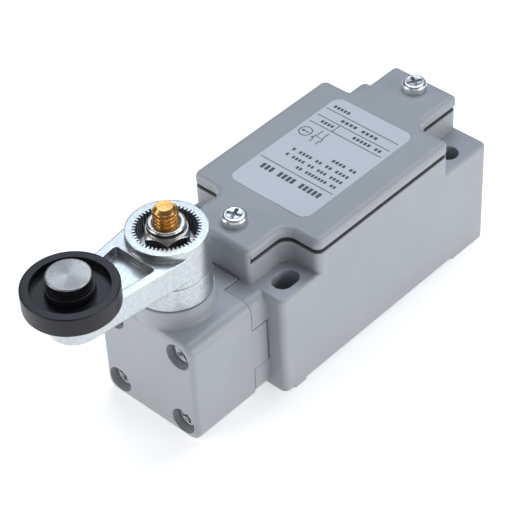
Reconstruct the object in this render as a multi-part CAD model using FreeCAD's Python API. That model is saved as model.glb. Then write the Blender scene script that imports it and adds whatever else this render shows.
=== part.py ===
"""Limit switch with side roller lever, in a die-cast EN 50041 body.

The origin is the centre of the 30 x 60 mm mounting pattern, on the mounting plane.
+X is to the right when looking at the front cover, +Y points to the operating head,
+Z points out of the front cover. Sizes are in millimetres.
"""
import FreeCAD, Part
import os
from math import acos, atan2, cos, degrees, pi, radians, sin, sqrt
from FreeCAD import Rotation, Vector

# ---- driving dimensions: housing ----
BODY_W = 40.0            # width of the housing
BODY_HEAD_Y = 36.7       # end face that carries the head
BODY_CONDUIT_Y = -39.3   # end face with the conduit entry
EAR_Z = 30.0             # front face of the four mounting ears
RIM_Z = 35.8             # rim that the cover gasket lies on
WALL_Z0 = 0.8            # underside between the feet
FLOOR_T = 2.4            # floor of the housing
SIDE_WALL = 2.8          # side walls of the wide chamber
TAB_HALF = 10.0          # half width of the rim beside the ears
SHOULDER_Y = 24.0        # where the rim widens from the tabs to the full width
RIM_CORNER_R = 2.0       # outer corners of the wide rim
RIM_INNER_R = 3.0        # hollow corners beside the tabs
TAB_CORNER_R = 1.4
BODY_CORNER_R = 1.7
EAR_EDGE_R = 0.8
FOOT_HEAD = 3.8          # length of the feet at the head end
FOOT_HEAD_IN = 3.4       # distance of those feet from the end face
FOOT_CONDUIT = 13.0      # length of the feet at the conduit end
FOOT_IN_X = 8.0          # inner edge of the feet
CHAMBER_Y = 21.2         # half length of the wide chamber
CHAMBER_R = 3.0

# ---- mounting holes (EN 50041) ----
HOLE_DX = 30.0
HOLE_DY = 60.0
HOLE_R = 2.65
SLOT_LEN = 7.3

# ---- conduit entry M20 x 1.5 ----
ENTRY_R = 9.2            # core radius of the tapped hole
ENTRY_LEN = 12.0
ENTRY_INNER_R = 8.6

# ---- gasket, cover, label ----
GASKET_T = 1.4
GASKET_INSET = 0.45
COVER_T = 2.6
COVER_OVER = 0.05        # overhang along the sides
COVER_OVER_END = 0.5     # overhang at the conduit end
COVER_EDGE_R = 1.5
STOP_T = 0.75            # raised stop of the housing that hides the gasket at the head end
STOP_RISE = 0.65         # its height above the gasket
STOP_GAP = 0.1           # gap between that stop and the cover
LIP_T = 1.3
LIP_H = 1.8
LIP_CLEAR = 0.35
COVER_SCREW_HEAD_Y = 30.5
COVER_SCREW_CONDUIT_Y = -35.0
COVER_SCREW_DEPTH = 7.5
LABEL_W = 24.5
LABEL_L = 40.0
LABEL_Y = -0.2
LABEL_T = 0.15
LABEL_R = 2.5

# ---- operating head ----
HEAD_SIZE = 30.2
HEAD_Z0 = 0.1
HEAD_END_Y = 61.6
HEAD_GASKET_T = 0.4
HEAD_EDGE_R = 2.9
HEAD_FACE_R = 1.3
KEY_IN_X = 6.8           # inner side of the four keys on the housing
KEY_UPPER_H = 7.8        # height of the two keys under the ear face
KEY_LOWER_H = 8.6        # height of the two at the underside
KEY_LEN = 5.05
KEY_CLEAR = 0.22
HEAD_SCREW_PITCH = 20.9
CBORE_R = 3.5
CBORE_DEPTH = 4.0
HEAD_SCREW_REACH = 3.0   # thread length in the housing
COLLAR_R = 9.85
COLLAR_Z = 35.0
COLLAR_FOOT_R = 0.8

# ---- shaft, cam and bearings ----
SHAFT_Y = 51.7
SHAFT_R = 5.0            # upper journal
CAM_SEAT_R = 4.0
LOWER_JOURNAL_R = 3.0
SHAFT_Z0 = 3.6
LOWER_BUSH_LEN = 5.0
BUSH_WALL = 1.5
RUN_CLEAR = 0.05         # radial running clearance of every shaft and pin
SEAL_H = 2.2
SEAL_WALL = 2.4
DRIVE_SQ = 7.0           # square that carries the toothed disc
STUD_R = 3.0             # M6 end of the shaft
STUD_TOP_Z = 58.5
STUD_POINT = 1.1         # chamfer at the end of the stud
CAM_BASE_R = 5.8
CAM_T = 8.0
CAM_SIDE_GAP = 0.5
CAM_PIN_R = 1.0
SWING_DEG = 70.0         # working swing of the lever
LIFT = 4.0               # tappet travel over that swing
NOSE_R = 1.5
NOSE_GAP = 0.15
CHAMBER_SIDE = 11.2      # half width of the head chamber beside the cam
CHAMBER_BACK_R = 7.9

# ---- tappet and its guide ----
TAPPET_DISC_R = 5.1
TAPPET_DISC_T = 1.8
TAPPET_ROD_R = 2.8
TAPPET_ROD_END_Y = 27.5
GUIDE_R = 6.4
GUIDE_FLANGE_R = 7.6
GUIDE_FLANGE_T = 1.2
GUIDE_LEN = 7.8
GUIDE_POCKET_R = 5.0
GUIDE_POCKET_DEPTH = 5.2
FIT = 0.05               # gap between parts that are pressed or dropped together
TAPPET_WIRE = 1.0

# ---- lever ----
LEVER_LEN = 29.15
HUB_R = 9.5
HUB_Z0 = 41.5
HUB_TOP = 52.1
TEETH = 48
TOOTH_ROOT_R = 7.75
TOOTH_CREST_R = 7.0
HUB_WEB_Z0 = 45.0
HUB_WEB_T = 1.4
STUD_HOLE_R = 3.2
ARM_Z0 = 43.35
ARM_TOP = 50.0
BOSS_R = 6.1
POCKET_DEPTH = 2.6
POCKET_WALL = 2.1
POCKET_HUB_GAP = 0.45
POCKET_BOSS_GAP = 0.8
POCKET_CORNER_R = 1.0
DISC_Z0 = 35.2
DISC_TOP = 41.4
WASHER_R = 6.0
WASHER_T = 1.6
NUT_AF = 10.0
NUT_H = 6.0
NUT_HEX_H = 4.3
NUT_COLLAR_R = 4.5

# ---- roller and its pin ----
ROLLER_R = 11.0
ROLLER_Z0 = 50.5
ROLLER_T = 5.0
ROLLER_RECESS_R = 8.9
ROLLER_RECESS = 2.0
ROLLER_HUB_R = 5.6
ROLLER_HUB_STAND = 0.3
ROLLER_EDGE_R = 0.35
PIN_R = 3.0
PIN_HEAD_R = 5.1
PIN_HEAD_Z0 = 56.0
PIN_HEAD_T = 2.6
PIN_RIVET_R = 3.9
PIN_RIVET_T = 0.8

# ---- contact block ----
BLOCK_HALF_W = 15.4
BLOCK_Y0 = -12.0
BLOCK_Y1 = 20.5
BLOCK_Z0 = 5.0
BLOCK_WALL = 2.0
BLOCK_RIM_Z = 22.0
LID_T = 2.0
BARRIER_H = 5.5
BARRIER_T = 1.2
POST_SIZE = 5.8
BLOCK_SCREW_X = 12.4
BLOCK_SCREW_IN = 2.8     # screw axis from the conduit-end face of the block
BLOCK_PILLAR_R = 3.4
PEG_X = 12.0
PEG_Y = 17.0
PEG_R = 1.2
PEG_H = 1.4
PEG_SHOULDER_R = 2.4
BRIDGE_HALF = 11.0
BRIDGE_W = 4.0
BRIDGE_T = 1.0
TIP_X = 9.0
TIP_R = 1.5
TIP_T = 0.8
TIP_GAP = 0.05           # gap left at a closed contact
NC_BRIDGE_Y = 12.0
NO_BRIDGE_Y = 2.5
STRIP_T = 1.2
STRIP_IN_X = 7.6
RISER_W = 2.8
RISER_X0 = 10.4
TERMINAL_X = 11.6
TERMINAL_TAB = 7.8
TERMINAL_W = 6.0
TERMINAL_SCREW_LEN = 5.0
EARTH_SCREW_LEN = 5.5
CLAMP = 6.4
CLAMP_T = 1.0
CARRIAGE_X = 3.0
CARRIAGE_Z = 4.0
CARRIAGE_Y0 = -0.5
CARRIAGE_Y1 = 16.0
STEM_R = 2.5
STEM_GAP = 0.2           # gap between tappet rod and plunger
TAIL_R = 1.6
TAIL_LEN = 8.0
BRIDGE_SPRING_LEN = 3.6
BRIDGE_SPRING_R = 1.5
BRIDGE_WIRE = 0.6
PLUNGER_WIRE = 0.5
EARTH_X = 12.8
EARTH_Y = -16.6
EARTH_PILLAR_R = 3.4
EARTH_PILLAR_Z = 9.0

# ---- screws: thread radius, head radius, head height ----
M35 = (1.75, 3.15, 2.3)
M3 = (1.5, 2.6, 2.0)
SCREW_CLEAR = 0.25
DOME = 0.35              # share of a pan head's height that is domed
CROSS_W = 0.9

# ---- places that follow from the above ----
COVER_Z = RIM_Z + GASKET_T
COVER_TOP = COVER_Z + COVER_T
HEAD_Y0 = BODY_HEAD_Y + HEAD_GASKET_T
AXIS_Z = HEAD_Z0 + HEAD_SIZE / 2
KEY_TOP_Z = EAR_Z
KEY_BOTTOM_Z = WALL_Z0
ROLLER_Y = SHAFT_Y + LEVER_LEN
FLOOR_Z = WALL_Z0 + FLOOR_T
BUSH_TOP_Z = COLLAR_Z - SEAL_H
CAM_Z0 = AXIS_Z - CAM_T / 2
CAM_PITCH = LIFT / radians(SWING_DEG)
NOSE_TIP_Y = SHAFT_Y - CAM_BASE_R - NOSE_GAP
NOSE_Y = NOSE_TIP_Y - NOSE_R
TAPPET_DISC_Y = NOSE_Y - TAPPET_DISC_T - 0.55
GUIDE_BOTTOM_Y = BODY_HEAD_Y - GUIDE_LEN
GUIDE_SEAT_Y = BODY_HEAD_Y - GUIDE_POCKET_DEPTH
NUT_Z0 = HUB_WEB_Z0 + HUB_WEB_T + WASHER_T
LID_TOP = BLOCK_RIM_Z + LID_T
STEM_TOP_Y = TAPPET_ROD_END_Y - STEM_GAP
NC_STRIP_Y = NC_BRIDGE_Y + BRIDGE_T + 2 * TIP_T + TIP_GAP
NO_STRIP_Y = NO_BRIDGE_Y - 2 * TIP_T - LIFT - TIP_GAP - STRIP_T
TERMINAL_Y = (NC_STRIP_Y + STRIP_T - TERMINAL_TAB + CLAMP / 2, NO_STRIP_Y + TERMINAL_TAB - CLAMP / 2)
X_AXIS, Y_AXIS, Z_AXIS = Vector(1, 0, 0), Vector(0, 1, 0), Vector(0, 0, 1)


# ---- helpers ----
def box(x0, x1, y0, y1, z0, z1):
    return Part.makeBox(x1 - x0, y1 - y0, z1 - z0, Vector(x0, y0, z0))


def rod_z(x, y, z0, z1, r):
    return Part.makeCylinder(r, z1 - z0, Vector(x, y, z0), Z_AXIS)


def rod_y(x, z, y0, y1, r):
    return Part.makeCylinder(r, y1 - y0, Vector(x, y0, z), Y_AXIS)


def cone_z(x, y, z0, z1, r0, r1):
    return Part.makeCone(r0, r1, z1 - z0, Vector(x, y, z0), Z_AXIS)


def union(shapes):
    shapes = list(shapes)
    return shapes[0].fuse(shapes[1:]).removeSplitter() if len(shapes) > 1 else shapes[0]


def mirror_x(shape):
    return shape.mirror(Vector(0, 0, 0), X_AXIS)


def both_sides(shape):
    return [shape, mirror_x(shape)]


def edges_along(shape, axis, test):
    """Straight edges parallel to an axis whose middle point passes the test."""
    found = []
    for edge in shape.Edges:
        if not isinstance(edge.Curve, Part.Line):
            continue
        if abs(abs(edge.tangentAt(edge.FirstParameter).dot(axis)) - 1) > 1e-6:
            continue
        if test(edge.CenterOfMass):
            found.append(edge)
    return found


def circles_at(shape, z, radius):
    """Round edges of one radius that lie flat at a height."""
    return [e for e in shape.Edges if isinstance(e.Curve, Part.Circle)
            and abs(e.Curve.Radius - radius) < 0.01 and abs(e.BoundBox.ZMin - z) < 0.01]


def round_edges(shape, radius, axis, test=lambda p: True):
    return shape.makeFillet(radius, edges_along(shape, axis, test))


def coil(x, y0, y1, z, mean_r, wire, turns):
    """Compression spring along Y whose end coils touch the seats at y0 and y1."""
    low, high = y0 + wire / 2, y1 - wire / 2
    helix = Part.makeHelix((high - low) / turns, high - low, mean_r)
    circle = Part.Wire(Part.makeCircle(wire / 2, Vector(mean_r, 0, 0), Y_AXIS))
    spring = Part.Wire(helix.Edges).makePipeShell([circle], True, True)
    spring.rotate(Vector(0, 0, 0), X_AXIS, -90)
    spring.translate(Vector(x, low, z))
    return spring


def screw(size, length):
    """Pan-head screw along +Z, underside of the head at z = 0, shank downwards."""
    thread_r, head_r, head_h = size
    belly = head_h * (1 - DOME)
    dome_r = 0.72 * head_r
    side = Part.Arc(Vector(head_r, 0, belly), Vector(0.90 * head_r, 0, 0.91 * head_h),
                    Vector(dome_r * 0.8, 0, head_h)).toShape()
    profile = [
        Part.makeLine(Vector(0, 0, -length), Vector(thread_r - 0.4, 0, -length)),
        Part.makeLine(Vector(thread_r - 0.4, 0, -length), Vector(thread_r, 0, 0.5 - length)),
        Part.makeLine(Vector(thread_r, 0, 0.5 - length), Vector(thread_r, 0, 0)),
        Part.makeLine(Vector(thread_r, 0, 0), Vector(head_r, 0, 0)),
        Part.makeLine(Vector(head_r, 0, 0), Vector(head_r, 0, belly)),
        side,
        Part.makeLine(Vector(dome_r * 0.8, 0, head_h), Vector(0, 0, head_h)),
        Part.makeLine(Vector(0, 0, head_h), Vector(0, 0, -length)),
    ]
    body = Part.Face(Part.Wire(profile)).revolve(Vector(0, 0, 0), Z_AXIS, 360)
    reach = 0.62 * head_r
    depth = 0.6 * head_h
    arm = box(-reach, reach, -CROSS_W / 2, CROSS_W / 2, head_h - depth, head_h + 1)
    other = arm.copy()
    other.rotate(Vector(0, 0, 0), Z_AXIS, 90)
    return body.cut(union([arm, other]))


def place(shape, x, y, z, axis=Z_AXIS, turn=0.0):
    """Turn a piece made along +Z to an axis and put it at a point."""
    piece = shape.copy()
    piece.rotate(Vector(0, 0, 0), Z_AXIS, turn)
    rotation = Rotation(Z_AXIS, axis)
    piece.rotate(Vector(0, 0, 0), rotation.Axis, degrees(rotation.Angle))
    piece.translate(Vector(x, y, z))
    return piece


# ---- plan outline shared by rim, gasket and cover ----
def plan_solid(z0, z1, grow=0.0, grow_conduit=None):
    """Wide part and tabs, grown outwards by the same amount on every side."""
    end = grow if grow_conduit is None else grow_conduit
    half = BODY_W / 2 + grow
    tab = TAB_HALF + grow
    shoulder = SHOULDER_Y + grow
    solid = union([
        box(-half, half, -shoulder, shoulder, z0, z1),
        box(-tab, tab, BODY_CONDUIT_Y - end, BODY_HEAD_Y + grow, z0, z1),
    ])
    hollow = RIM_INNER_R - grow
    solid = round_edges(solid, hollow, Z_AXIS,
                        lambda p: abs(abs(p.x) - tab) < 0.01 and abs(abs(p.y) - shoulder) < 0.01)
    solid = round_edges(solid, RIM_CORNER_R + grow, Z_AXIS,
                        lambda p: abs(abs(p.x) - half) < 0.01)
    return round_edges(solid, TAB_CORNER_R + grow, Z_AXIS,
                       lambda p: abs(p.y) > SHOULDER_Y + RIM_INNER_R + 2 and abs(abs(p.x) - tab) < 0.01)


def chamber_solid(z0, z1, grow=0.0):
    half = BODY_W / 2 - SIDE_WALL + grow
    long = CHAMBER_Y + grow
    return round_edges(box(-half, half, -long, long, z0, z1), CHAMBER_R + grow, Z_AXIS)


# ---- housing ----
def mounting_slot(x):
    half = SLOT_LEN / 2 - HOLE_R
    y = HOLE_DY / 2
    return union([
        rod_z(x, y - half, -1, EAR_Z + 1, HOLE_R),
        rod_z(x, y + half, -1, EAR_Z + 1, HOLE_R),
        box(x - HOLE_R, x + HOLE_R, y - half, y + half, -1, EAR_Z + 1),
    ])


def key(z0, z1, outer_z):
    """One of the keys that locate the head; its outer long edge follows the head."""
    half = HEAD_SIZE / 2 - 0.05
    solid = box(KEY_IN_X, half, BODY_HEAD_Y - 1, BODY_HEAD_Y + KEY_LEN, z0, z1)
    return round_edges(solid, HEAD_EDGE_R, Y_AXIS,
                       lambda p: abs(p.x - half) < 0.01 and abs(p.z - outer_z) < 0.01)


def keys():
    upper = key(KEY_TOP_Z - KEY_UPPER_H, KEY_TOP_Z, KEY_TOP_Z)
    lower = key(KEY_BOTTOM_Z, KEY_BOTTOM_Z + KEY_LOWER_H, KEY_BOTTOM_Z)
    return both_sides(upper) + both_sides(lower)


def head_screw_places():
    half = HEAD_SCREW_PITCH / 2
    return [(sx * half, AXIS_Z + sz * half) for sx in (-1, 1) for sz in (-1, 1)]


def housing():
    half = BODY_W / 2
    lower = box(-half, half, BODY_CONDUIT_Y, BODY_HEAD_Y, WALL_Z0, EAR_Z)
    lower = round_edges(lower, BODY_CORNER_R, Z_AXIS)
    top = [e for e in lower.Edges if abs(e.BoundBox.ZMin - EAR_Z) < 0.01 and e.BoundBox.ZLength < 0.01]
    lower = lower.makeFillet(EAR_EDGE_R, top)
    upper = plan_solid(EAR_Z - 10, RIM_Z)
    feet = []
    head_foot_y = BODY_HEAD_Y - FOOT_HEAD_IN
    for y0, y1 in ((head_foot_y - FOOT_HEAD, head_foot_y),
                   (BODY_CONDUIT_Y, BODY_CONDUIT_Y + FOOT_CONDUIT)):
        foot = box(FOOT_IN_X, half, y0, y1, 0, WALL_Z0 + 1)
        if y0 < 0:
            foot = round_edges(foot, BODY_CORNER_R, Z_AXIS, lambda p: p.x > half - 0.01 and p.y < y0 + 1)
        feet += both_sides(foot)
    stop = plan_solid(RIM_Z - 1, COVER_Z + STOP_RISE)
    stop = stop.common(box(-half, half, BODY_HEAD_Y - STOP_T, BODY_HEAD_Y + 1, RIM_Z - 1, COVER_TOP))
    solid = union([lower, upper, stop] + feet + keys())
    floor_parts = both_sides(rod_z(BLOCK_SCREW_X, block_screw_y(), FLOOR_Z - 1, BLOCK_Z0, BLOCK_PILLAR_R))
    for sx in (-1, 1):
        floor_parts.append(rod_z(sx * PEG_X, PEG_Y, FLOOR_Z - 1, BLOCK_Z0, PEG_SHOULDER_R))
        floor_parts.append(rod_z(sx * PEG_X, PEG_Y, FLOOR_Z - 1, BLOCK_Z0 + PEG_H, PEG_R))
    floor_parts.append(rod_z(EARTH_X, EARTH_Y, FLOOR_Z - 1, EARTH_PILLAR_Z, EARTH_PILLAR_R))
    solid = solid.cut(chamber_solid(FLOOR_Z, RIM_Z + 1)).fuse(floor_parts).removeSplitter()
    cuts = [
        rod_y(0, AXIS_Z, CHAMBER_Y - 1, BODY_HEAD_Y + 1, GUIDE_R + FIT),
        rod_y(0, AXIS_Z, BODY_HEAD_Y - GUIDE_FLANGE_T - FIT, BODY_HEAD_Y + 1, GUIDE_FLANGE_R + FIT),
        rod_y(0, AXIS_Z, BODY_CONDUIT_Y - 1, BODY_CONDUIT_Y + ENTRY_LEN, ENTRY_R),
        rod_y(0, AXIS_Z, BODY_CONDUIT_Y + 1, 1 - CHAMBER_Y, ENTRY_INNER_R),
        rod_z(EARTH_X, EARTH_Y, FLOOR_Z + 1, EARTH_PILLAR_Z + 1, M35[0]),
    ]
    for sx in (-1, 1):
        cuts.append(mounting_slot(sx * HOLE_DX / 2))
        cuts.append(rod_z(sx * HOLE_DX / 2, -HOLE_DY / 2, -1, EAR_Z + 1, HOLE_R))
        cuts.append(rod_z(sx * BLOCK_SCREW_X, BLOCK_Y0 + BLOCK_SCREW_IN, WALL_Z0 + 1, BLOCK_Z0 + 1, M3[0]))
    for y in (COVER_SCREW_HEAD_Y, COVER_SCREW_CONDUIT_Y):
        cuts.append(rod_z(0, y, RIM_Z - COVER_SCREW_DEPTH, RIM_Z + 1, M35[0]))
    for x, z in head_screw_places():
        cuts.append(rod_y(x, z, BODY_HEAD_Y - HEAD_SCREW_REACH, BODY_HEAD_Y + KEY_LEN + 1, M35[0]))
    return solid.cut(cuts)


# ---- gasket, cover, label ----
def stop_room(z0, z1):
    """Room at the head end for the raised stop of the housing."""
    half = BODY_W / 2
    return box(-half, half, BODY_HEAD_Y - STOP_T - STOP_GAP, BODY_HEAD_Y + 1, z0, z1)


def cover_gasket():
    solid = plan_solid(RIM_Z, COVER_Z, -GASKET_INSET)
    solid = solid.cut(chamber_solid(RIM_Z - 1, COVER_Z + 1, LIP_CLEAR))
    holes = [rod_z(0, y, RIM_Z - 1, COVER_Z + 1, M35[0] + SCREW_CLEAR)
             for y in (COVER_SCREW_HEAD_Y, COVER_SCREW_CONDUIT_Y)]
    return solid.cut(holes + [stop_room(RIM_Z - 1, COVER_Z + 1)])


def front_cover():
    plate = plan_solid(COVER_Z, COVER_TOP, COVER_OVER, COVER_OVER_END)
    top = [e for e in plate.Edges if abs(e.BoundBox.ZMin - COVER_TOP) < 0.01 and e.BoundBox.ZLength < 0.01]
    plate = plate.makeFillet(COVER_EDGE_R, top)
    lip = chamber_solid(COVER_Z - LIP_H - GASKET_T, COVER_Z + 0.5, -LIP_CLEAR)
    lip = lip.cut(chamber_solid(COVER_Z - 5, COVER_Z, -LIP_CLEAR - LIP_T))
    plate = plate.fuse(lip).removeSplitter()
    holes = [rod_z(0, y, COVER_Z - 1, COVER_TOP + 1, M35[0] + SCREW_CLEAR)
             for y in (COVER_SCREW_HEAD_Y, COVER_SCREW_CONDUIT_Y)]
    return plate.cut(holes + [stop_room(COVER_Z - 1, COVER_Z + STOP_RISE + STOP_GAP)])


def cover_screws():
    length = COVER_TOP - RIM_Z + COVER_SCREW_DEPTH - 0.5
    return [place(screw(M35, length), 0, y, COVER_TOP, turn=turn)
            for y, turn in ((COVER_SCREW_HEAD_Y, 20), (COVER_SCREW_CONDUIT_Y, 60))]


def label_plate():
    y0 = LABEL_Y - LABEL_L / 2
    plate = box(-LABEL_W / 2, LABEL_W / 2, y0, y0 + LABEL_L, COVER_TOP, COVER_TOP + LABEL_T)
    return round_edges(plate, LABEL_R, Z_AXIS)


# ---- operating head ----
def head_chamber():
    z0, z1 = CAM_Z0 - CAM_SIDE_GAP, CAM_Z0 + CAM_T + CAM_SIDE_GAP
    reach = CAM_BASE_R + LIFT + 0.7
    return union([
        rod_z(0, SHAFT_Y, z0, z1, CHAMBER_BACK_R),
        box(-CHAMBER_SIDE, CHAMBER_SIDE, SHAFT_Y - reach, SHAFT_Y + 2, z0, z1),
        box(-8.5, 8.5, HEAD_Y0 - 1, SHAFT_Y, z0, z1),
        rod_y(0, AXIS_Z, HEAD_Y0 - 1, SHAFT_Y - CAM_BASE_R, TAPPET_DISC_R + 0.4),
    ])


def head_housing():
    half = HEAD_SIZE / 2
    z1 = HEAD_Z0 + HEAD_SIZE
    block = box(-half, half, HEAD_Y0, HEAD_END_Y, HEAD_Z0, z1)
    block = round_edges(block, HEAD_EDGE_R, Y_AXIS)
    end = [e for e in block.Edges if abs(e.BoundBox.YMin - HEAD_END_Y) < 0.01 and e.BoundBox.YLength < 0.01]
    block = block.makeFillet(HEAD_FACE_R, end)
    collar = rod_z(0, SHAFT_Y, z1 - 2, COLLAR_Z, COLLAR_R)
    solid = block.fuse(collar).removeSplitter()
    foot = circles_at(solid, z1, COLLAR_R)
    solid = solid.makeFillet(COLLAR_FOOT_R, foot)
    lip = circles_at(solid, COLLAR_Z, COLLAR_R)
    solid = solid.makeFillet(0.3, lip)
    notch_y = BODY_HEAD_Y + KEY_LEN + KEY_CLEAR
    notch_x = KEY_IN_X - KEY_CLEAR
    upper_z = KEY_TOP_Z - KEY_UPPER_H - KEY_CLEAR
    lower_z = KEY_BOTTOM_Z + KEY_LOWER_H + KEY_CLEAR
    cuts = [head_chamber()]
    cuts += both_sides(box(notch_x, half + 1, HEAD_Y0 - 1, notch_y, upper_z, z1 + 1))
    cuts += both_sides(box(notch_x, half + 1, HEAD_Y0 - 1, notch_y, HEAD_Z0 - 1, lower_z))
    cuts.append(rod_z(0, SHAFT_Y, SHAFT_Z0 - 0.6, AXIS_Z, LOWER_JOURNAL_R + BUSH_WALL))
    cuts.append(rod_z(0, SHAFT_Y, AXIS_Z, BUSH_TOP_Z + 0.1, SHAFT_R + BUSH_WALL))
    cuts.append(rod_z(0, SHAFT_Y, BUSH_TOP_Z, COLLAR_Z + 1, SHAFT_R + SEAL_WALL))
    for x, z in head_screw_places():
        cuts.append(rod_y(x, z, HEAD_Y0, HEAD_END_Y, M35[0] + SCREW_CLEAR))
        cuts.append(rod_y(x, z, HEAD_END_Y - CBORE_DEPTH, HEAD_END_Y + 1, CBORE_R))
    return solid.cut(cuts)


def head_gasket():
    half = HEAD_SIZE / 2 - 0.4
    notch_x = KEY_IN_X - KEY_CLEAR
    upper_z = KEY_TOP_Z - KEY_UPPER_H - KEY_CLEAR
    lower_z = KEY_BOTTOM_Z + KEY_LOWER_H + KEY_CLEAR
    plate = box(-half, half, BODY_HEAD_Y, HEAD_Y0, HEAD_Z0 + 0.8, HEAD_Z0 + HEAD_SIZE - 0.4)
    cuts = both_sides(box(notch_x, half + 1, BODY_HEAD_Y - 1, HEAD_Y0 + 1, upper_z, 40))
    cuts += both_sides(box(notch_x, half + 1, BODY_HEAD_Y - 1, HEAD_Y0 + 1, -1, lower_z))
    cuts.append(rod_y(0, AXIS_Z, BODY_HEAD_Y - 1, HEAD_Y0 + 1, TAPPET_DISC_R + 0.4))
    return plate.cut(cuts)


def head_screws():
    seat_y = HEAD_END_Y - CBORE_DEPTH
    length = seat_y - BODY_HEAD_Y + HEAD_SCREW_REACH - 0.5
    return [place(screw(M35, length), x, seat_y, z, Y_AXIS, turn)
            for (x, z), turn in zip(head_screw_places(), (12, 40, 75, 28))]


# ---- bearings and seal ----
def ring(y, z0, z1, inner, outer):
    return rod_z(0, y, z0, z1, outer).cut(rod_z(0, y, z0 - 1, z1 + 1, inner))


def upper_bush():
    z0 = CAM_Z0 + CAM_T + CAM_SIDE_GAP
    return ring(SHAFT_Y, z0, BUSH_TOP_Z, SHAFT_R + RUN_CLEAR, SHAFT_R + BUSH_WALL)


def lower_bush():
    z1 = CAM_Z0 - CAM_SIDE_GAP
    return ring(SHAFT_Y, z1 - LOWER_BUSH_LEN, z1, LOWER_JOURNAL_R + RUN_CLEAR, LOWER_JOURNAL_R + BUSH_WALL)


def shaft_seal():
    return ring(SHAFT_Y, BUSH_TOP_Z, COLLAR_Z - 0.2, SHAFT_R + RUN_CLEAR, SHAFT_R + SEAL_WALL)


# ---- shaft and what turns with it ----
def drive_square(z0, z1):
    """Square of the shaft with its corners turned off, also the hole that fits it."""
    half = DRIVE_SQ / 2
    square = box(-half, half, SHAFT_Y - half, SHAFT_Y + half, z0, z1)
    return square.common(rod_z(0, SHAFT_Y, z0, z1, SHAFT_R - 0.3))


def lever_shaft():
    z_cam_top = CAM_Z0 + CAM_T
    square = drive_square(COLLAR_Z, HUB_WEB_Z0 - 0.2)
    solid = union([
        rod_z(0, SHAFT_Y, SHAFT_Z0, CAM_Z0, LOWER_JOURNAL_R),
        rod_z(0, SHAFT_Y, CAM_Z0, z_cam_top, CAM_SEAT_R),
        rod_z(0, SHAFT_Y, z_cam_top, COLLAR_Z + 0.1, SHAFT_R),
        square,
        rod_z(0, SHAFT_Y, HUB_WEB_Z0 - 0.3, STUD_TOP_Z - STUD_POINT, STUD_R),
        cone_z(0, SHAFT_Y, STUD_TOP_Z - STUD_POINT, STUD_TOP_Z, STUD_R, STUD_R - STUD_POINT),
    ])
    pin_hole = Part.makeCylinder(CAM_PIN_R, 30, Vector(-15, SHAFT_Y, AXIS_Z), X_AXIS)
    return solid.cut(pin_hole)


def cam():
    """Plate cam whose working flank keeps the same gap to a round nose on its whole rise."""
    offset = NOSE_R + NOSE_GAP
    base = CAM_BASE_R + offset
    flank = []
    steps = 20
    overrun = 6.0
    for i in range(steps + 1):
        turn = radians((SWING_DEG + 2 * overrun) * i / steps - overrun)
        r = base + CAM_PITCH * turn
        a = -pi / 2 - turn
        radial = Vector(cos(a), sin(a), 0)
        along = Vector(sin(a), -cos(a), 0)
        normal = radial * r - along * CAM_PITCH
        normal.normalize()
        flank.append(radial * r - normal * offset)
    tip = flank[-1]
    curve = Part.BSplineCurve()
    curve.interpolate(flank)
    start = flank[0]
    base_r = start.Length
    touch_a = atan2(tip.y, tip.x) - acos(base_r / tip.Length)
    touch = Vector(base_r * cos(touch_a), base_r * sin(touch_a), 0)
    span = (touch_a - atan2(start.y, start.x)) % (2 * pi)
    middle_a = touch_a - span / 2
    middle = Vector(base_r * cos(middle_a), base_r * sin(middle_a), 0)
    wire = Part.Wire([curve.toShape(), Part.makeLine(tip, touch), Part.Arc(touch, middle, start).toShape()])
    plate = Part.Face(wire).extrude(Vector(0, 0, CAM_T))
    plate.translate(Vector(0, SHAFT_Y, CAM_Z0))
    bore = rod_z(0, SHAFT_Y, CAM_Z0 - 1, CAM_Z0 + CAM_T + 1, CAM_SEAT_R)
    pin_hole = Part.makeCylinder(CAM_PIN_R, 30, Vector(-15, SHAFT_Y, AXIS_Z), X_AXIS)
    return plate.cut([bore, pin_hole])


def cam_pin():
    half = CAM_BASE_R - 0.5
    return Part.makeCylinder(CAM_PIN_R, 2 * half, Vector(-half, SHAFT_Y, AXIS_Z), X_AXIS)


# ---- tappet and guide ----
def tappet_guide():
    y1 = BODY_HEAD_Y
    solid = union([
        rod_y(0, AXIS_Z, GUIDE_BOTTOM_Y, y1, GUIDE_R),
        rod_y(0, AXIS_Z, y1 - GUIDE_FLANGE_T, y1, GUIDE_FLANGE_R),
    ])
    return solid.cut([
        rod_y(0, AXIS_Z, GUIDE_SEAT_Y, y1 + 1, GUIDE_POCKET_R),
        rod_y(0, AXIS_Z, GUIDE_BOTTOM_Y - 1, y1, TAPPET_ROD_R + RUN_CLEAR),
    ])


def tappet():
    ridge_half = CAM_T / 2 - 1
    return union([
        rod_y(0, AXIS_Z, TAPPET_ROD_END_Y, TAPPET_DISC_Y + 0.2, TAPPET_ROD_R),
        rod_y(0, AXIS_Z, TAPPET_DISC_Y, TAPPET_DISC_Y + TAPPET_DISC_T, TAPPET_DISC_R),
        box(-NOSE_R, NOSE_R, TAPPET_DISC_Y + 0.5, NOSE_Y, AXIS_Z - ridge_half, AXIS_Z + ridge_half),
        rod_z(0, NOSE_Y, AXIS_Z - ridge_half, AXIS_Z + ridge_half, NOSE_R),
    ])


def tappet_spring():
    mean_r = GUIDE_POCKET_R - 0.25 - TAPPET_WIRE / 2
    return coil(0, GUIDE_SEAT_Y, TAPPET_DISC_Y, AXIS_Z, mean_r, TAPPET_WIRE, 4)


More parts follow.
